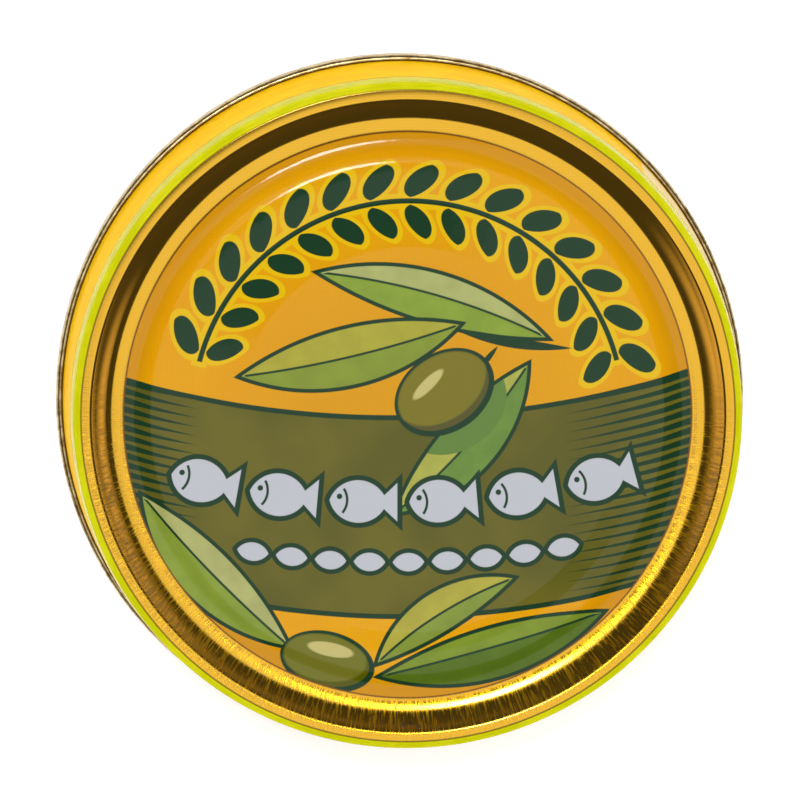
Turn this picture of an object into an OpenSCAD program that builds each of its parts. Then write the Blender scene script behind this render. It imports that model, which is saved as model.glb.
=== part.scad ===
// Shut round tin for tuna.
// The body is drawn in one piece and stands upside down: its printed base faces up,
// and an easy-open end with a ring pull is seamed on below.
// +Z is up. The origin is the centre of the circle that the tin rests on.

/* [Body] */
// Height from the resting circle to the crown of the gold ring
can_h = 25; // [18:0.5:60]
// Radius of the body at the foot of the wall, where it enters the seam
foot_r = 37.5; // [34:0.1:60]
// Lean of the side wall from upright, in degrees
wall_lean = 3.8; // [0:0.1:5]
// Height of the neck, the stretch below the crown that leans in further
neck_h = 6; // [4:0.5:10]
// Lean of the neck from upright, in degrees
neck_lean = 5.6; // [5:0.1:9]
// Radius of the blend from the wall to the neck
neck_round = 8; // [2:0.5:12]
// Radius of the rounded upper corner
corner_round = 1.0; // [0.6:0.1:1.2]

/* [Gold ring] */
// Width of the top of the ring, measured between its sharp corners
ring_w = 1.75; // [1.5:0.05:2.6]
// Slope of the ring's inner wall, in degrees
ring_slope = 40; // [30:1:50]
// Height of the ring's inner wall
ring_h = 1.6; // [1.4:0.05:2.2]
// Hollow of the ring's inner wall, at its middle, below a straight slope
ring_hollow = 0.05; // [0.02:0.01:0.1]
// Radius of the ring's crest
crest_round = 0.6; // [0.3:0.1:0.9]
// Radius at the foot of the ring's inner wall
ring_foot_round = 1.6; // [0.3:0.1:2]
// Width of the gently sloping shelf inside the ring
shelf_w = 1.2; // [1:0.1:2.5]
// Slope of the shelf, in degrees
shelf_slope = 12; // [3:1:16]

/* [Picture panel] */
// Width of the gutter round the panel
gutter_w = 1.75; // [1.4:0.05:2.5]
// Fall of the gutter towards the ring, in degrees
gutter_slope = 5; // [0:1:8]
// Width of the slope from the gutter up to the panel's border
border_slope_w = 1.5; // [1.4:0.1:3]
// Height of the panel's border above the inner edge of the gutter
border_rise = 0.85; // [0.5:0.05:0.9]
// Width of the panel's flat border
flat_w = 2.15; // [1:0.05:3]
// Width of the dip from the border down to the valley
dip_w = 2.3; // [1:0.1:4]
// Depth of the valley below the border
dip_h = 0.2; // [0.05:0.05:0.4]
// Width of the shallow cone from the valley up to the middle
cone_w = 5; // [3:0.1:7]
// Height of the middle above the valley
cone_h = 0.32; // [0.1:0.02:0.5]
// Radius that softens the edges of the gutter and its slope
bead_round = 2.8; // [0.5:0.1:2.8]
// Radius that softens the edges of the valley and the middle
fold_round = 2; // [0.5:0.1:5]

/* [Seam] */
// Height of the seam
seam_h = 3.0; // [2.4:0.1:4]
// Thickness of the seam, across the wall
seam_t = 1.2; // [1:0.05:1.6]
// Step from the side wall out to the face of the seam
seam_step = 0.8; // [0.5:0.05:1]
// Radius of the rounded edges of the seam
seam_round = 0.4; // [0.2:0.05:0.45]

/* [End] */
// Thickness of the end's sheet
sheet_t = 0.25; // [0.2:0.05:0.5]
// Depth of the countersink, from the resting circle
sink_depth = 4.2; // [3.8:0.1:6]
// Width of the floor of the countersink
sink_w = 0.7; // [0.4:0.1:1.2]
// Inward lean of the chuck wall over its height
chuck_lean = 0.35; // [0:0.05:0.6]
// Depth of the flat rim of the end, from the resting circle
rim_depth = 3.2; // [3:0.1:3.6]
// Width of the wall between the countersink and the rim
sink_wall_w = 0.6; // [0.4:0.1:1.2]
// Width of the flat rim of the end
rim_w = 2.6; // [1:0.1:4]
// Width of the step from the rim to the well in the middle of the end
end_step_w = 0.8; // [0.4:0.1:1.5]
// Extra depth of the well
end_step_h = 0.4; // [0.1:0.05:0.6]

/* [Ring pull] */
// Distance from the nose of the ring pull to the edge of the well
nose_gap = 1.4; // [0.5:0.1:4]
// Radius of the rounded nose
nose_r = 5.6; // [4.5:0.1:7]
// Outer radius of the finger ring
ring_r = 8.3; // [7:0.1:9.5]
// Radius of the finger hole
hole_r = 5.6; // [4:0.1:6]
// Distance from the rivet to the centre of the finger hole
ring_reach = 13.5; // [13:0.1:16]
// Thickness of the ring pull over its curled edge
pull_t = 1.1; // [0.9:0.05:1.4]
// Thickness of the web around the rivet
web_t = 0.5; // [0.3:0.05:0.6]
// Radius of the pocket around the rivet
pocket_r = 3.9; // [3.5:0.1:4.2]
// Radius of the rivet's stem
stem_r = 1.6; // [1.2:0.1:2]
// Radius of the rivet's head
rivet_r = 2.6; // [2.4:0.1:3.2]
// Thickness of the rivet's head
rivet_t = 0.45; // [0.3:0.05:0.5]
// Radius of the pad that lifts the ring pull off the end
pad_r = 3.3; // [2.8:0.1:4]
// Height of the pad
pad_h = 0.25; // [0.15:0.05:0.4]
// Clearance round the rivet's stem
stem_clear = 0.05; // [0.02:0.01:0.1]

/* [Hidden] */
$fn = 96;
over = 0.01;

// Body, from the foot of the wall up and inwards
neck_z = can_h - neck_h;
neck_r = foot_r - (neck_z - seam_h) * tan(wall_lean);
corner_r = neck_r - neck_h * tan(neck_lean);
crest_r = corner_r - ring_w;
ring_foot_r = crest_r - ring_h / tan(ring_slope);
ring_foot_z = can_h - ring_h;
ring_wall_half = ring_h / sin(ring_slope) / 2;
ring_mid_r = (crest_r + ring_foot_r) / 2 + ring_hollow * sin(ring_slope);
ring_mid_z = (can_h + ring_foot_z) / 2 - ring_hollow * cos(ring_slope);
// The hollow's arc takes up this share of either half of the wall
hollow_share = 0.4;
hollow_round = hollow_share * ring_wall_half * ring_wall_half / ring_hollow;
gutter_out_r = ring_foot_r - shelf_w;
gutter_z = ring_foot_z - shelf_w * tan(shelf_slope);
gutter_in_r = gutter_out_r - gutter_w;
gutter_in_z = gutter_z + gutter_w * tan(gutter_slope);
border_r = gutter_in_r - border_slope_w;
border_z = gutter_in_z + border_rise;
dip_r = border_r - flat_w;
valley_r = dip_r - dip_w;
valley_z = border_z - dip_h;
middle_r = valley_r - cone_w;
middle_z = valley_z + cone_h;

// Seam and end, from the outside inwards
seam_out_r = foot_r + seam_step;
seam_in_r = seam_out_r - seam_t;
sink_out_r = seam_in_r - chuck_lean - seam_round;
sink_in_r = sink_out_r - sink_w;
rim_out_r = sink_in_r - sink_wall_w;
rim_in_r = rim_out_r - rim_w;
well_r = rim_in_r - end_step_w;
well_depth = rim_depth + end_step_h;
chuck_top_z = sink_depth - seam_round;

// Ring pull
rivet_y = well_r - nose_gap - nose_r;
ring_y = rivet_y - ring_reach;
pull_top_z = well_depth - pad_h;
pull_low_z = pull_top_z - pull_t;
web_low_z = pull_top_z - web_t;

// Points of an arc about [x, z], from one angle to another
function arc(x, z, r, from, to, steps) =
    [for (i = [0:steps]) let(a = from + (to - from) * i / steps) [x + r * cos(a), z + r * sin(a)]];

// Points of a smooth step from one [radius, height] to another, level at both ends
function slope(start, finish, steps) =
    [for (i = [0:steps]) let(u = i / steps)
        [start[0] + (finish[0] - start[0]) * u,
         start[1] + (finish[1] - start[1]) * (1 - cos(180 * u)) / 2]];

// The face that the end shows below, from the middle out to the seam's lower edge
function end_underside() = concat(
    [[0, well_depth]],
    slope([well_r, well_depth], [rim_in_r, rim_depth], 4),
    slope([rim_out_r, rim_depth], [sink_in_r, sink_depth], 4),
    arc(sink_out_r, chuck_top_z, seam_round, 90, 0, 4),
    arc(seam_in_r + seam_round, seam_round, seam_round, 180, 270, 4));

// The face of the end that meets the body, from the middle out to the seam
function end_inside() = concat(
    [[0, well_depth + sheet_t]],
    slope([well_r, well_depth + sheet_t], [rim_in_r, rim_depth + sheet_t], 4),
    slope([rim_out_r, rim_depth + sheet_t], [sink_in_r, sink_depth + sheet_t], 4),
    arc(sink_out_r, chuck_top_z, seam_round + sheet_t, 90, 0, 4),
    [[seam_in_r + sheet_t, seam_h]]);

// The outer edge of the seam, from its lower edge up to its shoulder
function seam_outside() = concat(
    arc(seam_out_r - seam_round, seam_round, seam_round, 270, 360, 4),
    arc(seam_out_r - seam_round, seam_h - seam_round, seam_round, 0, 90, 4));

// The printed face as sharp corners, each [radius, height, rounding], from the foot of the wall inwards
face_corners = [
    [foot_r, seam_h, 0],
    [neck_r, neck_z, neck_round],
    [corner_r, can_h, corner_round],
    [crest_r, can_h, crest_round],
    [ring_mid_r, ring_mid_z, hollow_round],
    [ring_foot_r, ring_foot_z, ring_foot_round],
    [gutter_out_r, gutter_z, bead_round],
    [gutter_in_r, gutter_in_z, bead_round],
    [border_r, border_z, bead_round],
    [dip_r, border_z, fold_round],
    [valley_r, valley_z, fold_round],
    [middle_r, middle_z, fold_round],
    [0, middle_z, 0]];

// Direction from one point to another, in degrees
function heading(a, b) = atan2(b[1] - a[1], b[0] - a[0]);

// Turn at the middle one of three points, in degrees, left turns positive
function turn(a, b, c) = let(d = heading(b, c) - heading(a, b)) d > 180 ? d - 360 : d < -180 ? d + 360 : d;

// Arc of the given radius in place of the corner b between a and c, one step for about every 8 degrees
function rounded(a, b, c, radius) =
    let(t = turn(a, b, c), side = sign(t), reach = radius * abs(tan(t / 2)), in = heading(a, b),
        start = [b[0] - reach * cos(in), b[1] - reach * sin(in)],
        hub = [start[0] - side * radius * sin(in), start[1] + side * radius * cos(in)])
    arc(hub[0], hub[1], radius, in - side * 90, in - side * 90 + t, ceil(abs(t) / 8) + 1);

// The printed face with its corners rounded
function printed_face() = [
    for (i = [0:len(face_corners) - 1])
        let(c = face_corners[i])
        each c[2] == 0 ? [[c[0], c[1]]] : rounded(face_corners[i - 1], c, face_corners[i + 1], c[2])];

// Shut body, closed below by the end
module body() {
    color("goldenrod")
        rotate_extrude()
            polygon(concat(end_inside(), printed_face()));
}

// Seamed end with the pad and rivet that are pressed out of it
module end() {
    color("silver")
        union() {
            rotate_extrude()
                polygon(concat(end_underside(), seam_outside(), reverse(end_inside())));
            translate([0, rivet_y, pull_top_z])
                cylinder(r = pad_r, h = pad_h + over);
            translate([0, rivet_y, web_low_z - over])
                cylinder(r = stem_r, h = well_depth - web_low_z + 2 * over);
            translate([0, rivet_y, web_low_z - rivet_t])
                cylinder(r = rivet_r, h = rivet_t);
        }
}

// Outline of the ring pull: the nose round the rivet, the finger ring and the flanks between
module pull_outline() {
    lean = asin((ring_r - nose_r) / ring_reach);
    translate([0, rivet_y]) circle(r = nose_r);
    translate([0, ring_y]) circle(r = ring_r);
    polygon([
        [nose_r * cos(lean), rivet_y + nose_r * sin(lean)],
        [-nose_r * cos(lean), rivet_y + nose_r * sin(lean)],
        [-ring_r * cos(lean), ring_y + ring_r * sin(lean)],
        [ring_r * cos(lean), ring_y + ring_r * sin(lean)]]);
}

// Ring pull, lying flat in the recess of the end
module ring_pull() {
    color("gainsboro")
        difference() {
            translate([0, 0, pull_low_z])
                linear_extrude(pull_t) pull_outline();
            translate([0, ring_y, pull_low_z - over])
                cylinder(r = hole_r, h = pull_t + 2 * over);
            translate([0, rivet_y, pull_low_z - over])
                cylinder(r = stem_r + stem_clear, h = pull_t + 2 * over);
            translate([0, rivet_y, pull_low_z - over])
                cylinder(r = pocket_r, h = pull_t - web_t + over);
        }
}

// The points of a list, last one first
function reverse(list) = [for (i = [len(list) - 1:-1:0]) list[i]];

body();
end();
ring_pull();
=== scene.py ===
"""Shut round tin for tuna, upside down on its seamed end.

The printed body, the seamed end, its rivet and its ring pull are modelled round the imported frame.
Sizes are in millimetres, as in the part's source, and become metres in each finished mesh.
"""
import math
import bmesh
import bpy
from mathutils import Matrix, Vector


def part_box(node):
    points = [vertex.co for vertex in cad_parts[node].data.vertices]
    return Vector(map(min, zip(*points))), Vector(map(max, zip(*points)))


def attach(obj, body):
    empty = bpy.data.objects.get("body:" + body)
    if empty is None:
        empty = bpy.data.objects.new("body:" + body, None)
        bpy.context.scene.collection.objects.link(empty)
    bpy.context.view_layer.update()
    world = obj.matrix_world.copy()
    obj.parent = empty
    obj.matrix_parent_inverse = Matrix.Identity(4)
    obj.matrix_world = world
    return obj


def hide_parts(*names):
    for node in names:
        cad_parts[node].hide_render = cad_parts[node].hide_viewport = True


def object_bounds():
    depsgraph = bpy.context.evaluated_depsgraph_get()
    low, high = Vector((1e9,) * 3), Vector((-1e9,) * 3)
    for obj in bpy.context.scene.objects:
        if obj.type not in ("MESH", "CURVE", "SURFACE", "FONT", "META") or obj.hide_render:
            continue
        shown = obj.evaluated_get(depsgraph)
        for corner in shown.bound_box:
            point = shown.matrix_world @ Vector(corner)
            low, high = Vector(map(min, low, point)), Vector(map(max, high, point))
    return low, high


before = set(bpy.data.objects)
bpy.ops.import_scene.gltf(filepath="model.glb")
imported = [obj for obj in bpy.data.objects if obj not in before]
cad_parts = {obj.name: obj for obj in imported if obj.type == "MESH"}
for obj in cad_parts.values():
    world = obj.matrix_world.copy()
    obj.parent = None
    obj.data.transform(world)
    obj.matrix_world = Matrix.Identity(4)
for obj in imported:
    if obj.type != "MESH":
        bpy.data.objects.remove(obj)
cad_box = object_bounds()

MM = 0.001
STEPS = 256          # steps of a full turn
SHARP = math.radians(35)   # an edge that turns by more stays sharp
SOFT = 0.07          # width over which one ink turns into the next
BUMP_H = 0.0002      # height of the finest relief, in metres

# Sizes that the frame gives
CAN_H = cad_box[1].z / MM
SEAM_OUT = cad_box[1].x / MM
FOOT_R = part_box("body")[1].x / MM
SEAM_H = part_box("body")[0].z / MM
PULL_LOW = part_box("ring_pull")[0].z / MM
NOSE_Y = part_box("ring_pull")[1].y / MM

# Sizes that repeat the part's own, in millimetres and degrees
WALL_LEAN, NECK_H, NECK_LEAN, NECK_ROUND = 3.8, 6, 5.6, 8
CORNER_ROUND, RING_W, CREST_ROUND = 1.0, 1.75, 0.6
RING_H, RING_SLOPE, RING_FOOT_ROUND = 1.6, math.radians(40), 1.6
HOLLOW, HOLLOW_SHARE = 0.05, 0.4
SHELF_W, SHELF_SLOPE = 1.2, 12
GUTTER_W, GUTTER_SLOPE, BEAD_ROUND = 1.75, 5, 2.8
BORDER_SLOPE_W, BORDER_RISE, FLAT_W = 1.5, 0.85, 2.15
DIP_W, DIP_H, CONE_W, CONE_H, FOLD_ROUND = 2.3, 0.2, 5, 0.32, 2
SEAM_T, CHUCK_RUN, SINK_W, SINK_WALL_W, RIM_W, STEP_W = 1.2, 0.75, 0.7, 0.6, 2.6, 0.8
SINK_Z, RIM_Z, WELL_Z, SHEET = 4.2, 3.2, 3.6, 0.25
NOSE_R, STEM_R, RIVET_R, RIVET_T, PAD_R = 5.6, 1.6, 2.6, 0.45, 3.3


def fall(run, slope):
    """Height gained over a run at a slope in degrees, or the run over a height at a lean."""
    return run * math.tan(math.radians(slope))


# Body, from the foot of the wall up and inwards
NECK_Z = CAN_H - NECK_H
NECK_R = FOOT_R - fall(NECK_Z - SEAM_H, WALL_LEAN)
CORNER_R = NECK_R - fall(NECK_H, NECK_LEAN)
CREST_R = CORNER_R - RING_W
RING_FOOT_Z = CAN_H - RING_H
RING_FOOT_R = CREST_R - RING_H / math.tan(RING_SLOPE)
HOLLOW_ROUND = HOLLOW_SHARE * (RING_H / math.sin(RING_SLOPE) / 2) ** 2 / HOLLOW
RING_MID_R = (CREST_R + RING_FOOT_R) / 2 + HOLLOW * math.sin(RING_SLOPE)
RING_MID_Z = (CAN_H + RING_FOOT_Z) / 2 - HOLLOW * math.cos(RING_SLOPE)
GUTTER_OUT_R = RING_FOOT_R - SHELF_W
GUTTER_Z = RING_FOOT_Z - fall(SHELF_W, SHELF_SLOPE)
GUTTER_IN_R = GUTTER_OUT_R - GUTTER_W
GUTTER_IN_Z = GUTTER_Z + fall(GUTTER_W, GUTTER_SLOPE)
BORDER_R = GUTTER_IN_R - BORDER_SLOPE_W
BORDER_Z = GUTTER_IN_Z + BORDER_RISE
DIP_R = BORDER_R - FLAT_W
VALLEY_R = DIP_R - DIP_W
VALLEY_Z = BORDER_Z - DIP_H
MIDDLE_R = VALLEY_R - CONE_W
MIDDLE_Z = VALLEY_Z + CONE_H

# Seam and end
SEAM_IN = SEAM_OUT - SEAM_T
SINK_OUT = SEAM_IN - CHUCK_RUN
SINK_IN = SINK_OUT - SINK_W
RIM_OUT = SINK_IN - SINK_WALL_W
RIM_IN = RIM_OUT - RIM_W
WELL_R = RIM_IN - STEP_W
RIVET_Y = NOSE_Y - NOSE_R

# Where one print ends and the next begins
PICTURE_R = 30.6
LIME_R = 35.1
YELLOW_Z = 20.5


# ---- Camera ----

def aim(camera, place, target, up):
    """Turns the camera from its place to the target, with up towards the top of the frame."""
    back = (place - target).normalized()
    right = up.cross(back).normalized()
    turn = Matrix((right, back.cross(right), back)).transposed()
    camera.matrix_world = Matrix.Translation(place) @ turn.to_4x4()


CAMERA_TILT = math.radians(5.75)
LEAN_X, LEAN_Y = -0.389, 0.921      # way in which the camera leans from straight above
CAMERA_WAY = Vector((LEAN_X * math.sin(CAMERA_TILT), LEAN_Y * math.sin(CAMERA_TILT), math.cos(CAMERA_TILT)))
CAMERA_AWAY, VIEW_W, SENSOR_W = 600, 85.74, 36
TARGET = Vector((-0.94, 1.90, CAN_H)) * MM
camera = bpy.data.objects.new("camera", bpy.data.cameras.new("camera"))
camera.data.lens = SENSOR_W * CAMERA_AWAY / VIEW_W
camera.data.sensor_width = SENSOR_W
bpy.context.scene.collection.objects.link(camera)
bpy.context.scene.camera = camera
aim(camera, TARGET + CAMERA_WAY.normalized() * (CAMERA_AWAY * MM), TARGET, Vector((0, 1, 0)))
bpy.context.scene.view_settings.view_transform = "Standard"


# ---- Node helpers ----

def ink(code, strength=0.69):
    """Linear colour of a hexadecimal ink code, held back for the studio's bright light."""
    parts = [int(code[i:i + 2], 16) / 255 for i in (0, 2, 4)]
    linear = [p / 12.92 if p <= 0.04045 else ((p + 0.055) / 1.055) ** 2.4 for p in parts]
    return tuple(strength * part for part in linear) + (1,)


class Sheet:
    """The node tree of one material, with fields in millimetres that are negative inside a shape."""

    def __init__(self, name, flat=True):
        self.material = bpy.data.materials.new(name)
        self.material.use_nodes = True
        self.tree = self.material.node_tree
        self.shader = self.tree.nodes["Principled BSDF"]
        coords = self.tree.nodes.new("ShaderNodeTexCoord")
        mapping = self.tree.nodes.new("ShaderNodeMapping")
        mapping.inputs["Scale"].default_value = (1000, 1000, 0 if flat else 1000)
        self.tree.links.new(coords.outputs["Object"], mapping.inputs["Vector"])
        self.point = mapping.outputs["Vector"]
        parts = self.tree.nodes.new("ShaderNodeSeparateXYZ")
        self.tree.links.new(self.point, parts.inputs[0])
        self.x, self.y, self.z = parts.outputs

    def put(self, socket, value):
        """Links a node's output to the socket, or sets its value."""
        if isinstance(value, bpy.types.NodeSocket):
            self.tree.links.new(value, socket)
        else:
            socket.default_value = value

    def math(self, operation, *values, clamp=False):
        """Output of a math node."""
        node = self.tree.nodes.new("ShaderNodeMath")
        node.operation = operation
        node.use_clamp = clamp
        for socket, value in zip(node.inputs, values):
            self.put(socket, value)
        return node.outputs[0]

    def add(self, a, b):
        return self.math("ADD", a, b)

    def sub(self, a, b):
        return self.math("SUBTRACT", a, b)

    def mul(self, a, b):
        return self.math("MULTIPLY", a, b)

    def both(self, a, b):
        """Field of what lies inside both shapes."""
        return self.math("MAXIMUM", a, b)

    def either(self, a, b):
        """Field of what lies inside at least one shape."""
        return self.math("MINIMUM", a, b)

    def vector(self, x, y, z=0.0):
        """Three values as a vector or a colour."""
        node = self.tree.nodes.new("ShaderNodeCombineXYZ")
        for socket, value in zip(node.inputs, (x, y, z)):
            self.put(socket, value)
        return node.outputs[0]

    def distance(self, centre, point=None):
        """Distance from a centre at height 0."""
        node = self.tree.nodes.new("ShaderNodeVectorMath")
        node.operation = "DISTANCE"
        self.put(node.inputs[0], self.point if point is None else point)
        node.inputs[1].default_value = (centre[0], centre[1], 0)
        return node.outputs["Value"]

    def disc(self, centre, radius, point=None):
        """Field of a disc."""
        return self.sub(self.distance(centre, point), radius)

    def mask(self, field, soft=SOFT):
        """1 where the field is negative and 0 outside, with a soft edge."""
        return self.math("MULTIPLY_ADD", field, -1 / soft, 0.5, clamp=True)

    def mix(self, under, over, factor, blend="MIX"):
        """Colour between two others."""
        node = self.tree.nodes.new("ShaderNodeMix")
        node.data_type = "RGBA"
        node.blend_type = blend
        self.put(node.inputs[0], factor)
        self.put(node.inputs[6], under)
        self.put(node.inputs[7], over)
        return node.outputs[2]

    def lay(self, under, colour, field, soft=SOFT):
        """Prints the colour where the field is negative."""
        return self.mix(under, colour, self.mask(field, soft))

    def noise(self, scale, detail=3.0, rough=0.5, point=None):
        """Cloudy values, with the scale in cells for each millimetre."""
        node = self.tree.nodes.new("ShaderNodeTexNoise")
        self.put(node.inputs["Vector"], self.point if point is None else point)
        node.inputs["Scale"].default_value = scale
        node.inputs["Detail"].default_value = detail
        node.inputs["Roughness"].default_value = rough
        return node.outputs["Fac"]

    def ramp(self, value, low, high, to_low, to_high):
        """Value moved from one range to another and held within it."""
        node = self.tree.nodes.new("ShaderNodeMapRange")
        for socket, v in zip(node.inputs, (value, low, high, to_low, to_high)):
            self.put(socket, v)
        return node.outputs[0]

    def screen(self, pitch, strength):
        """Fine diagonal dots of a printing screen, from 0 to strength."""
        rate = math.pi / pitch * math.sqrt(0.5) * 2
        waves = [self.math("SINE", self.mul(way(self.x, self.y), rate)) for way in (self.add, self.sub)]
        return self.ramp(self.mul(*waves), -1, 1, 0.0, strength)

    def bump(self, height, strength, distance):
        """Raises the surface by a height field."""
        node = self.tree.nodes.new("ShaderNodeBump")
        node.inputs["Strength"].default_value = strength
        node.inputs["Distance"].default_value = distance
        self.put(node.inputs["Height"], height)
        self.put(self.shader.inputs["Normal"], node.outputs[0])

    def set(self, **values):
        """Sets or links the shader's sockets by name."""
        for name, value in values.items():
            self.put(self.shader.inputs[name.replace("_", " ")], value)

    def hub(self, a, b, sag):
        """Centre and radius of the arc from a to b that bows out to the left by sag."""
        a, b = Vector(a), Vector(b)
        half, across = (b - a).length / 2, (b - a).normalized()
        left = Vector((-across.y, across.x))
        radius = (half * half + sag * sag) / (2 * abs(sag))
        return (a + b) / 2 + left * (sag - math.copysign(radius, sag)), radius

    def edge(self, a, b, sag, point=None):
        """Field of the arc from a to b that bows to the left: negative on the right of it."""
        centre, radius = self.hub(a, b, sag)
        field = self.disc(centre, radius, point)
        return field if sag > 0 else self.mul(field, -1.0)

    def lens(self, a, b, left, right, point=None):
        """Field of a leaf shape between two arcs from a to b."""
        return self.both(self.edge(a, b, left, point), self.edge(b, a, right, point))

    def oval(self, centre, semi, angle, point=None):
        """Field of an ellipse, near enough to a distance by its shorter axis."""
        node = self.tree.nodes.new("ShaderNodeMapping")
        node.vector_type = "TEXTURE"
        node.inputs["Location"].default_value = (centre[0], centre[1], 0)
        node.inputs["Rotation"].default_value = (0, 0, math.radians(angle))
        node.inputs["Scale"].default_value = (semi[0], semi[1], 1)
        self.put(node.inputs["Vector"], self.point if point is None else point)
        return self.mul(self.disc((0, 0), 1, node.outputs[0]), min(semi))

    def row(self, centre, radius, pitch, first, last, inward, shear=0.0, mirror=False, offset=0.0):
        """Repeats a motif along an arc: gives along and up, measured from the middle of each motif."""
        dx, dy = self.sub(self.x, centre[0]), self.sub(self.y, centre[1])
        away = self.math("SQRT", self.add(self.mul(dx, dx), self.mul(dy, dy)))
        angle = self.math("ARCTAN2", dx, self.mul(dy, -1.0) if inward else dy)
        up = self.sub(radius, away) if inward else self.sub(away, radius)
        if mirror:
            up = self.math("ABSOLUTE", up)
        along = self.math("MULTIPLY_ADD", up, -shear, self.math("MULTIPLY_ADD", angle, radius, -offset))
        cell = self.math("ROUND", self.mul(along, 1 / pitch))
        cell = self.math("MAXIMUM", self.math("MINIMUM", cell, last), first)
        return self.math("MULTIPLY_ADD", cell, -pitch, along), up


# ---- Print of the picture panel ----

ORANGE, DARK, BAND = ink("f9b404"), ink("1c3f26"), ink("716b22")
YELLOW, PALE = ink("f2c60c"), ink("c9ccd3")


def paint_leaf(s, under, a, b, left, right, rib, left_code, right_code):
    """Prints a leaf from a to b with two tones, a dark outline and a midrib."""
    line = 0.42
    outer = s.lens(a, b, left, right)
    under = s.lay(under, DARK, s.sub(outer, line / 2))
    middle = s.edge(a, b, rib)
    tone = s.mix(ink(left_code), ink(right_code), s.mask(middle))
    shade = s.ramp(s.noise(0.35, 2), 0.35, 0.65, 0.92, 1.06)
    tone = s.mix(tone, s.vector(shade, shade, shade), 1.0, "MULTIPLY")
    under = s.lay(under, tone, s.add(outer, line / 2))
    vein = s.both(s.sub(s.math("ABSOLUTE", middle), line * 0.3), s.add(outer, line * 0.8))
    return s.lay(under, DARK, vein)


def paint_olive(s, under, centre, semi, angle, main_code, dusk_code, shine):
    """Prints an olive with its shade and its highlight."""
    whole = s.oval(centre, semi, angle)
    under = s.lay(under, DARK, whole)
    inner = s.oval((centre[0] - 0.1, centre[1] + 0.12), (semi[0] - 0.5, semi[1] - 0.5), angle)
    under = s.lay(under, ink(dusk_code), inner)
    towards_light = s.oval((centre[0] - 0.55, centre[1] + 0.75), (semi[0] - 0.35, semi[1] - 0.45), angle)
    under = s.lay(under, ink(main_code), s.both(inner, towards_light), 0.2)
    spot, tilt, reach = shine
    return s.lay(under, ink("cfc47a"), s.oval(spot, reach, tilt), 0.12)


def paint_wreath(s, under):
    """Prints a wreath of leaf pairs along the top."""
    radius, pitch, half_span = 23.2, 4.2, math.radians(75)
    along, up = s.row((0, 0), radius, pitch, -7, 7, False, shear=0.55, mirror=True)
    leaves = s.lens((0, 0.4), (0, 4.0), 1.4, 1.4, s.vector(along, up))
    angle = s.math("ABSOLUTE", s.math("ARCTAN2", s.x, s.y))
    stem = s.both(s.sub(up, 0.28), s.mul(s.sub(angle, half_span), radius))
    wreath = s.either(leaves, stem)
    under = s.lay(under, YELLOW, s.sub(wreath, 0.55))
    return s.lay(under, DARK, wreath)


def paint_band(s, under):
    """Prints a curved band with stripes that run in from both sides."""
    top_centre, top_r, low_centre, low_r = (-1.3, 104.8), 104.6, (-0.4, 73.1), 95
    depth = s.disc(top_centre, top_r)
    band = s.both(s.mul(depth, -1.0), s.disc(low_centre, low_r))
    under = s.lay(under, DARK, band)
    fill = s.mix(BAND, ink("625f1e"), s.ramp(s.noise(0.08, 2), 0.4, 0.6, 0.0, 1.0))
    for side, pitch, tip in ((-1.0, 0.96, 22.6), (1.0, 1.0, 16.9)):
        reach = s.mul(s.x, side)
        width = s.ramp(reach, tip, PICTURE_R, 0.0, 0.72)
        wave = s.math("ABSOLUTE", s.sub(s.math("FRACT", s.mul(depth, 1 / pitch)), 0.5))
        stripe = s.mul(s.sub(wave, s.mul(width, 0.5)), pitch)
        fill = s.lay(fill, DARK, s.both(stripe, s.sub(tip, reach)))
    return s.lay(under, fill, s.add(band, 0.55))


def paint_upper_sprig(s, under):
    """Prints three leaves and a twig about one olive."""
    foot, tip, left, right = (13.0, 5.86), (-1.7, -10.6), 4.2, 2.1
    under = paint_leaf(s, under, foot, tip, left, right, 0.9, "6f9340", "b4b651")
    shadow = s.both(s.add(s.lens(foot, tip, left, right), 0.2), s.oval((4.7, 1.2), (6.2, 4.9), 33))
    under = s.lay(under, ink("688b40"), shadow)
    under = paint_leaf(s, under, (-9.97, 15.61), (15.2, 8.32), 3.65, 1.9, 1.2, "b4ba70", "8ea83a")
    under = s.lay(under, DARK, s.lens((4.6, 9.6), (17.6, 7.35), 0.1, 1.05))
    under = paint_leaf(s, under, (-18.35, 4.38), (5.84, 10.05), 2.55, 3.9, -0.7, "b3ae3c", "8b9d36")
    under = s.lay(under, DARK, s.lens((9.6, 7.6), (7.4, 4.9), 0.3, 0.3))
    shine = ((2.1, 3.5), 45, (2.2, 0.6))
    return paint_olive(s, under, (3.86, 2.65), (5.75, 4.3), 33, "827a22", "5b5828", shine)


def paint_shoal(s, under):
    """Prints a row of fish and a row of beads along the band."""
    centre, fish_r, bead_r = (-1, 88), 97.2, 103.7
    along, up = s.row(centre, fish_r, 8.6, -3, 2, True, offset=4.7)
    spot = s.vector(along, up)
    body = s.lens((-3.6, 0), (2.6, 0), 2.3, 2.3, spot)
    tail = s.both(s.sub(s.math("ABSOLUTE", up), s.mul(s.sub(along, 1.5), 0.95)), s.sub(along, 3.7))
    fish = s.either(body, tail)
    gill = s.both(s.sub(s.math("ABSOLUTE", s.disc((-3.9, 0), 2.2, spot)), 0.14), s.add(body, 0.45))
    eye = s.disc((-2.55, 0.45), 0.3, spot)
    under = s.lay(under, DARK, s.sub(fish, 0.55))
    under = s.lay(under, PALE, fish)
    under = s.lay(under, DARK, s.either(gill, eye))
    along, up = s.row(centre, bead_r, 4.2, -4, 4, True, offset=1.0)
    bead = s.lens((-1.7, 0), (1.7, 0), 1.0, 1.0, s.vector(along, up))
    under = s.lay(under, DARK, s.sub(bead, 0.5))
    return s.lay(under, PALE, bead)


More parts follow.
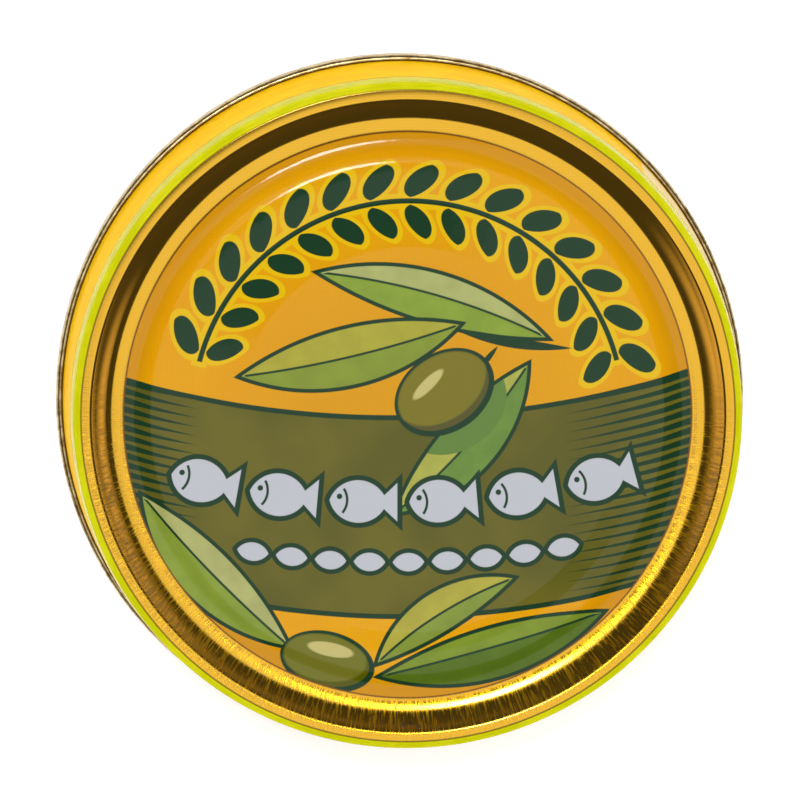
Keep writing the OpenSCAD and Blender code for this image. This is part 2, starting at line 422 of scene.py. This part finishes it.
def paint_lower_sprig(s, under):
    """Prints three leaves about a second olive."""
    under = paint_leaf(s, under, (-28.8, -8.2), (-12.6, -25.0), 2.0, 4.1, -0.5, "b6b972", "8ea33c")
    under = paint_leaf(s, under, (-3.4, -28.2), (21.4, -21.2), 1.9, 3.9, -0.3, "83992e", "5a761c")
    under = paint_leaf(s, under, (-3.6, -26.9), (11.65, -17.4), 3.6, 1.1, 1.0, "b7b044", "8a9d3e")
    shine = ((-8.4, -25.15), -12, (2.5, 0.75))
    return paint_olive(s, under, (-8.74, -26.5), (5.2, 3.3), -15, "7a7a26", "5c5e00", shine)


def picture_print():
    """Orange panel with a wreath, an olive band, two sprigs and a shoal, with painted shade in the middle
    and at the rim.
    """
    s = Sheet("picture_print")
    away = s.distance((0, 0))
    base = s.mix(ORANGE, ink("f5ab05"), s.ramp(s.noise(0.06, 2), 0.35, 0.65, 0.0, 1.0))
    # Painted shade: the orange darkens towards the middle of the panel
    base = s.mix(base, ink("e5a308"), s.ramp(away, 10, 22, 0.8, 0.0))
    # Painted shade: the orange darkens at the rim, next to the gold ring
    base = s.mix(base, ink("d69408"), s.ramp(away, 28.4, 29.6, 0.0, 0.85))
    base = s.mix(base, ink("d9960c"), s.screen(0.34, 0.5))
    for paint in (paint_wreath, paint_band, paint_upper_sprig, paint_shoal, paint_lower_sprig):
        base = paint(s, base)
    base = s.lay(base, ink("7d4c08"), s.sub(PICTURE_R - 0.1, away), 0.1)
    s.set(Base_Color=base, Roughness=0.07, IOR=1.5, Specular_IOR_Level=0.27)
    s.bump(s.noise(0.5, 2), 0.08, BUMP_H)
    return s.material


# ---- Lacquers ----

def lime_line(s, away):
    """Field of the thin dark line where the lime meets the gold."""
    half_width = 0.09
    return s.sub(s.math("ABSOLUTE", s.sub(away, LIME_R)), half_width)


def gold_lacquer():
    """Gold lacquer over bright tin, with fine streaks towards -Y and three small nicks."""
    s = Sheet("gold_lacquer")
    away = s.distance((0, 0))
    round_x, round_y = s.math("DIVIDE", s.x, away), s.math("DIVIDE", s.y, away)
    streaks = s.noise(1.0, 4, 0.6, s.vector(s.mul(round_x, 150.0), s.mul(round_y, 150.0), s.mul(away, 0.5)))
    worn = s.mul(s.ramp(streaks, 0.46, 0.62, 0.0, 1.0), s.ramp(s.y, 6, -12, 0.0, 1.0))
    tone = s.mix(ink("f3bb12", 1), ink("d99e0c", 1), s.screen(0.34, 0.4))
    tone = s.lay(tone, ink("7d5a0a", 1), lime_line(s, away), 0.12)
    for nick in ((0.3, -33.2), (1.1, -33.5), (-0.6, -33.4)):
        tone = s.lay(tone, ink("8d8a84", 1), s.disc(nick, 0.16), 0.2)
    tone = s.lay(tone, ink("8f5f10", 1), s.sub(away, PICTURE_R + 0.08), 0.1)
    s.set(Base_Color=tone, Metallic=1.0, Roughness=s.ramp(worn, 0, 1, 0.13, 0.5))
    s.set(Coat_Weight=1.0, Coat_Roughness=0.12, Coat_IOR=1.5)
    s.bump(s.mul(streaks, s.ramp(s.y, 8, -10, 0.1, 1.0)), 0.15, BUMP_H)
    return s.material


def wall_print():
    """Yellow wall with one bare cream panel, and a pale and a brown line at its upper edge."""
    s = Sheet("wall_print", flat=False)
    panel_way, panel_half, panel_z, panel_half_h = math.radians(29), math.radians(16), 12.4, 6.6
    turn = s.math("ABSOLUTE", s.sub(s.math("ARCTAN2", s.y, s.x), panel_way))
    rise = s.math("ABSOLUTE", s.sub(s.z, panel_z))
    panel = s.both(s.mul(s.sub(turn, panel_half), 36.0), s.sub(rise, panel_half_h))
    tone = s.mix(ink("ffd208", 0.98), ink("fdc806", 0.98), s.ramp(s.noise(0.2, 2), 0.4, 0.6, 0.0, 1.0))
    tone = s.lay(tone, ink("f4e9c8", 0.9), panel)
    below = s.sub(YELLOW_Z, s.z)
    tone = s.lay(tone, ink("c98f20", 0.9), s.sub(below, 0.75), 0.3)
    tone = s.lay(tone, ink("fdf290", 0.85), s.sub(below, 0.35), 0.15)
    s.set(Base_Color=tone, Roughness=0.28, IOR=1.01, Metallic=0.35, Specular_Tint=(1, 0.72, 0.1, 1))
    s.bump(s.noise(0.4, 2), 0.06, BUMP_H)
    return s.material


def lime_print():
    """Lime ink over the bright corner, with a thin dark line at its inner edge."""
    s = Sheet("lime_print", flat=False)
    tone = s.mix(ink("e8e41c", 0.82), ink("dada0f", 0.82), s.ramp(s.noise(0.3, 2), 0.4, 0.6, 0.0, 1.0))
    away = s.distance((0, 0), s.vector(s.x, s.y))
    tone = s.lay(tone, ink("8a7606"), lime_line(s, away), 0.12)
    s.set(Base_Color=tone, Roughness=0.15, IOR=1.03, Metallic=0.15, Specular_Tint=(1, 0.95, 0.3, 1))
    s.bump(s.noise(0.6, 3), 0.06, BUMP_H)
    return s.material


def bare_tin():
    """Lacquered tinplate, brushed round the end and scuffed, with a painted shade line in the crevice where
    the seam meets the wall.
    """
    s = Sheet("bare_tin", flat=False)
    away = s.distance((0, 0), s.vector(s.x, s.y))
    rings = s.noise(1.0, 3, 0.6, s.vector(s.mul(away, 6.0), 0.0, s.mul(s.z, 6.0)))
    scuffs = s.noise(0.9, 5, 0.65)
    tone = s.mix(ink("d8c493", 1), ink("8a6c38", 1), s.ramp(scuffs, 0.4, 0.66, 0.0, 1.0))
    # Painted shade: a dark brown ring in the crevice at the top of the seam, where it meets the wall
    crevice_shade = s.both(s.sub(away, FOOT_R + 0.2), s.sub(SEAM_H - 0.6, s.z))
    tone = s.lay(tone, ink("4a2c08", 1), s.both(crevice_shade, s.sub(FOOT_R - 0.5, away)), 0.15)
    s.set(Base_Color=tone, Metallic=1.0, Roughness=s.ramp(rings, 0.3, 0.7, 0.22, 0.4))
    s.bump(rings, 0.1, BUMP_H)
    return s.material


def pull_metal():
    """Satin aluminium with light rubbing."""
    s = Sheet("pull_metal", flat=False)
    rub = s.noise(1.0, 4, 0.6, s.vector(s.mul(s.x, 1.5), s.mul(s.y, 8.0), s.mul(s.z, 1.5)))
    tone = s.mix(ink("d6d5d0", 1), ink("b9b7b0", 1), s.ramp(rub, 0.4, 0.65, 0.0, 1.0))
    s.set(Base_Color=tone, Metallic=1.0, Roughness=s.ramp(rub, 0.3, 0.7, 0.24, 0.42))
    s.bump(rub, 0.12, BUMP_H)
    return s.material


# ---- Shapes ----

def turn_at(a, b, c):
    """Turn at b on the way from a to c, in radians."""
    turn = math.atan2(c[1] - b[1], c[0] - b[0]) - math.atan2(b[1] - a[1], b[0] - a[0])
    return (turn + math.pi) % (2 * math.pi) - math.pi


def section(corners):
    """Wire of (radius, height, rounding) corners, rounded, in a new bmesh."""
    bm = bmesh.new()
    points = [bm.verts.new((c[0], 0, c[1])) for c in corners]
    for pair in zip(points, points[1:]):
        bm.edges.new(pair)
    for i, (point, corner) in enumerate(zip(points, corners)):
        if corner[2] > 0:
            bend = abs(turn_at(corners[i - 1], corner, corners[i + 1]))
            bmesh.ops.bevel(bm, geom=[point], offset=corner[2] * math.tan(bend / 2), offset_type="OFFSET",
                            segments=max(4, round(math.degrees(bend) / 5)), profile=0.5,
                            affect="VERTICES", material=-1)
    return bm


def spun(bm):
    """Turns the section into a closed surface about the upright axis."""
    bmesh.ops.spin(bm, geom=bm.verts[:] + bm.edges[:], cent=(0, 0, 0), axis=(0, 0, 1), dvec=(0, 0, 0),
                   angle=2 * math.pi, steps=STEPS, use_merge=True, use_duplicate=False)
    bmesh.ops.remove_doubles(bm, verts=bm.verts, dist=1e-4)
    bmesh.ops.recalc_face_normals(bm, faces=bm.faces)
    return bm


def piece(name, bm, materials, node=None, slot=None):
    """Finishes a bmesh in millimetres as a piece of the tin."""
    bmesh.ops.scale(bm, vec=(MM, MM, MM), verts=bm.verts)
    mesh = bpy.data.meshes.new(name)
    bm.to_mesh(mesh)
    bm.free()
    mesh.polygons.foreach_set("use_smooth", [True] * len(mesh.polygons))
    mesh.set_sharp_from_angle(angle=SHARP)
    for material in materials:
        mesh.materials.append(material)
    obj = bpy.data.objects.new(name, mesh)
    bpy.context.scene.collection.objects.link(obj)
    if slot:
        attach(obj, "root")
    if node:
        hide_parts(node)
    return obj


def make_body():
    """Shut drawn body with its gold ring and picture panel."""
    corners = [
        (0, WELL_Z + SHEET, 0), (WELL_R, WELL_Z + SHEET, 0), (RIM_IN, RIM_Z + SHEET, 0),
        (RIM_OUT, RIM_Z + SHEET, 0), (SINK_IN, SINK_Z + SHEET, 0), (SINK_OUT, SINK_Z + SHEET, 0),
        (SEAM_IN + SHEET, SEAM_H, 0), (FOOT_R, SEAM_H, 0),
        (NECK_R, NECK_Z, NECK_ROUND), (CORNER_R, CAN_H, CORNER_ROUND), (CREST_R, CAN_H, CREST_ROUND),
        (RING_MID_R, RING_MID_Z, HOLLOW_ROUND), (RING_FOOT_R, RING_FOOT_Z, RING_FOOT_ROUND),
        (GUTTER_OUT_R, GUTTER_Z, BEAD_ROUND), (GUTTER_IN_R, GUTTER_IN_Z, BEAD_ROUND),
        (BORDER_R, BORDER_Z, BEAD_ROUND), (DIP_R, BORDER_Z, FOLD_ROUND), (VALLEY_R, VALLEY_Z, FOLD_ROUND),
        (MIDDLE_R, MIDDLE_Z, FOLD_ROUND), (0, MIDDLE_Z, 0)]
    bm = section(corners)
    for place, normal in (((LIME_R, 0, 0), (1, 0, 0)), ((0, 0, YELLOW_Z), (0, 0, 1)),
                          ((PICTURE_R, 0, 0), (1, 0, 0))):
        bmesh.ops.bisect_plane(bm, geom=bm.verts[:] + bm.edges[:], dist=1e-5,
                               plane_co=place, plane_no=normal)
    spun(bm)
    for face in bm.faces:
        middle = face.calc_center_median()
        away = math.hypot(middle.x, middle.y)
        if middle.z < YELLOW_Z:
            face.material_index = 0
        elif away > LIME_R - 0.01:
            face.material_index = 1
        elif away > PICTURE_R:
            face.material_index = 2
        else:
            face.material_index = 3
    return piece("printed_body", bm, [wall_print(), lime_print(), gold_lacquer(), picture_print()],
                 "body", "printed_tin")


def make_end():
    """Seamed end: countersink, rim, score line, well and bead below, double seam outside."""
    bead_r, bead_half, bead_depth = WELL_R - 4.6, 0.6, 0.12
    score_r, score_half, score_depth = RIM_IN + 1.05, 0.1, 0.1
    corners = [
        (0, WELL_Z, 0), (bead_r - bead_half, WELL_Z, 1.2), (bead_r, WELL_Z - bead_depth, 0.6),
        (bead_r + bead_half, WELL_Z, 1.2), (WELL_R, WELL_Z, 0.8), (RIM_IN, RIM_Z, 0.5),
        (score_r - score_half, RIM_Z, 0), (score_r, RIM_Z + score_depth, 0),
        (score_r + score_half, RIM_Z, 0), (RIM_OUT, RIM_Z, 0.35), (SINK_IN, SINK_Z, 0.3),
        (SINK_OUT, SINK_Z, 0.35), (SEAM_IN, 0, 0.45), (SEAM_OUT - 0.1, 0, 0.42),
        (SEAM_OUT, 1.0, 0.8), (SEAM_OUT - 0.12, SEAM_H, 0.45),
        (SEAM_IN + SHEET, SEAM_H, 0), (SINK_OUT, SINK_Z + SHEET, 0), (SINK_IN, SINK_Z + SHEET, 0),
        (RIM_OUT, RIM_Z + SHEET, 0), (RIM_IN, RIM_Z + SHEET, 0), (WELL_R, WELL_Z + SHEET, 0),
        (0, WELL_Z + SHEET, 0)]
    return piece("seamed_end", spun(section(corners)), [bare_tin()], "end", "bare_tin")


def make_rivet():
    """Pad, stem and domed head that hold the ring pull."""
    head_low = PULL_LOW + 0.15
    head_top, dimple_z = head_low + RIVET_T, head_low + 0.2
    corners = [
        (0, WELL_Z + 0.05, 0), (PAD_R + 0.4, WELL_Z + 0.02, 0), (PAD_R, WELL_Z - 0.24, 0.2),
        (STEM_R, WELL_Z - 0.25, 0), (STEM_R, head_top, 0), (RIVET_R, head_top, 0.1),
        (RIVET_R, head_low, 0.35), (1.2, head_low, 0.5), (0.9, dimple_z, 0.3), (0, dimple_z, 0)]
    bm = spun(section(corners))
    bmesh.ops.translate(bm, vec=(0, RIVET_Y, 0), verts=bm.verts)
    return piece("rivet", bm, [bpy.data.materials["bare_tin"]], None, "bare_tin")


def make_pull():
    """Ring pull with curled edges, from its merged solid."""
    bm = bmesh.new()
    bm.from_mesh(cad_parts["ring_pull"].data)
    bmesh.ops.scale(bm, vec=(1 / MM, 1 / MM, 1 / MM), verts=bm.verts)
    bmesh.ops.remove_doubles(bm, verts=bm.verts, dist=1e-3)
    bmesh.ops.dissolve_limit(bm, angle_limit=math.radians(1), verts=bm.verts, edges=bm.edges)
    crisp_angle, curl = math.radians(50), 0.22
    crisp = [e for e in bm.edges if len(e.link_faces) == 2 and e.calc_face_angle() > crisp_angle]
    bmesh.ops.bevel(bm, geom=crisp, offset=curl, offset_type="OFFSET", segments=4, profile=0.5,
                    affect="EDGES", material=-1, clamp_overlap=True)
    return piece("pull_tab", bm, [pull_metal()], "ring_pull", "pull_metal")


def make_floor():
    """Plain pale floor."""
    s = Sheet("floor_paper")
    tone = s.ramp(s.noise(0.02, 2), 0.3, 0.7, 0.92, 0.94)
    s.set(Base_Color=s.vector(tone, tone, tone), Roughness=0.9, IOR=1.2, Emission_Strength=0.22,
          Emission_Color=(1, 1, 1, 1))
    bm = bmesh.new()
    bmesh.ops.create_grid(bm, x_segments=4, y_segments=4, size=2000)
    bmesh.ops.translate(bm, vec=(0, 0, -0.02), verts=bm.verts)
    piece("floor", bm, [s.material])


make_body()
make_end()
make_rivet()
make_pull()
make_floor()


# ---- Light ----

TOP_GLOW, SIDE_GLOW, KEY_GLOW, FLANK_GLOW, FAR_GLOW, BELOW_GLOW = 1.0, 0.06, 28.0, 0.85, 0.17, 0.7
KEY_AZIMUTH, KEY_ANGLE, KEY_HALF = math.radians(106), math.radians(17), 3.6


def world_light():
    """Soft overhead glow, dim sides, warm flanks, one small strong key and some light from below."""
    world = bpy.data.worlds.new("studio")
    bpy.context.scene.world = world
    world.use_nodes = True
    tree = world.node_tree
    tree.nodes.clear()
    new, link = tree.nodes.new, tree.links.new
    coords = new("ShaderNodeTexCoord")

    def towards(way):
        """Cosine of the angle between a ray of light and a way."""
        node = new("ShaderNodeVectorMath")
        node.operation = "DOT_PRODUCT"
        link(coords.outputs["Generated"], node.inputs[0])
        node.inputs[1].default_value = way
        return node.outputs["Value"]

    def span(value, low, high, to_low, to_high):
        """Smooth step from to_low at low to to_high at high."""
        node = new("ShaderNodeMapRange")
        node.interpolation_type = "SMOOTHSTEP"
        link(value, node.inputs[0])
        for socket, v in zip(list(node.inputs)[1:5], (low, high, to_low, to_high)):
            socket.default_value = v
        return node.outputs[0]

    def cosine(degrees):
        return math.cos(math.radians(degrees))

    def calc(operation, a, b):
        """Output of a math node."""
        node = new("ShaderNodeMath")
        node.operation = operation
        for socket, v in zip(node.inputs, (a, b)):
            if isinstance(v, bpy.types.NodeSocket):
                link(v, socket)
            else:
                socket.default_value = v
        return node.outputs[0]

    # Soft box overhead, longest towards -Y, with a dark gap where the camera is
    up = towards((0, 0, 1))
    across = calc("DIVIDE", towards((1, 0, 0)), calc("MAXIMUM", up, 0.01))
    along = calc("DIVIDE", towards((0, 1, 0)), calc("MAXIMUM", up, 0.01))
    box = span(calc("ABSOLUTE", across, 0.0), 0.48, 0.64, 1.0, 0.0)
    box = calc("MULTIPLY", box, span(along, -1.1, -0.85, 0.0, 1.0))
    box = calc("MULTIPLY", box, span(along, 0.4, 0.85, 1.0, 0.0))
    glow = span(box, 0.0, 1.0, SIDE_GLOW, TOP_GLOW)
    glow = calc("MULTIPLY", glow, span(up, 0.0, 0.02, 0.0, 1.0))
    glow = calc("ADD", glow, span(up, -0.3, -0.02, BELOW_GLOW, 0.0))
    gap = span(towards(CAMERA_WAY.normalized()), cosine(9.0), cosine(6.5), 1.0, 0.12)
    glow = calc("MULTIPLY", glow, gap)

    # Small strong key
    lean = math.sin(KEY_ANGLE)
    key_way = Vector((math.cos(KEY_AZIMUTH) * lean, math.sin(KEY_AZIMUTH) * lean, math.cos(KEY_ANGLE)))
    glow = calc("ADD", glow, span(towards(key_way), cosine(KEY_HALF + 3), cosine(KEY_HALF), 0.0, KEY_GLOW))

    # Warm flanks and a warm far side, low above the horizon
    flanks = span(calc("ABSOLUTE", towards((1, 0.1, 0)), 0.0), cosine(42), cosine(12), 0.0, FLANK_GLOW)
    flanks = calc("MULTIPLY", flanks, span(up, 0.13, 0.21, 0.0, 1.0))
    flanks = calc("MULTIPLY", flanks, span(up, 0.24, 0.34, 1.0, 0.0))
    far = span(towards((0.25, 0.97, 0)), cosine(60), cosine(20), 0.0, FAR_GLOW)
    flanks = calc("ADD", flanks, calc("MULTIPLY", far, span(up, 0.2, 0.3, 1.0, 0.0)))

    # The plain white of the camera's own view stays apart from what lights the tin
    dome = new("ShaderNodeBackground")
    link(glow, dome.inputs["Strength"])
    dome.inputs["Color"].default_value = (1, 1, 1, 1)
    sides = new("ShaderNodeBackground")
    link(flanks, sides.inputs["Strength"])
    sides.inputs["Color"].default_value = (1, 0.8, 0.75, 1)
    whole = new("ShaderNodeAddShader")
    link(dome.outputs[0], whole.inputs[0])
    link(sides.outputs[0], whole.inputs[1])
    plain = new("ShaderNodeBackground")
    plain.inputs["Color"].default_value = (1, 1, 1, 1)
    path = new("ShaderNodeLightPath")
    pick = new("ShaderNodeMixShader")
    link(path.outputs["Is Camera Ray"], pick.inputs[0])
    link(whole.outputs[0], pick.inputs[1])
    link(plain.outputs[0], pick.inputs[2])
    out = new("ShaderNodeOutputWorld")
    link(pick.outputs[0], out.inputs[0])


def soft_light(name, place, size, power):
    """Broad lamp that lights the inks and the floor but isn't mirrored in the gloss."""
    data = bpy.data.lights.new(name, "AREA")
    data.shape = "DISK"
    data.size = size
    data.energy = power
    lamp = bpy.data.objects.new(name, data)
    lamp.location = place
    lamp.rotation_mode = "QUATERNION"
    lamp.rotation_quaternion = Vector(place).to_track_quat("Z", "Y")
    lamp.visible_glossy = False
    bpy.context.scene.collection.objects.link(lamp)


world_light()
soft_light("overhead", (0.0, 0.1, 1.6), 2.4, 27)
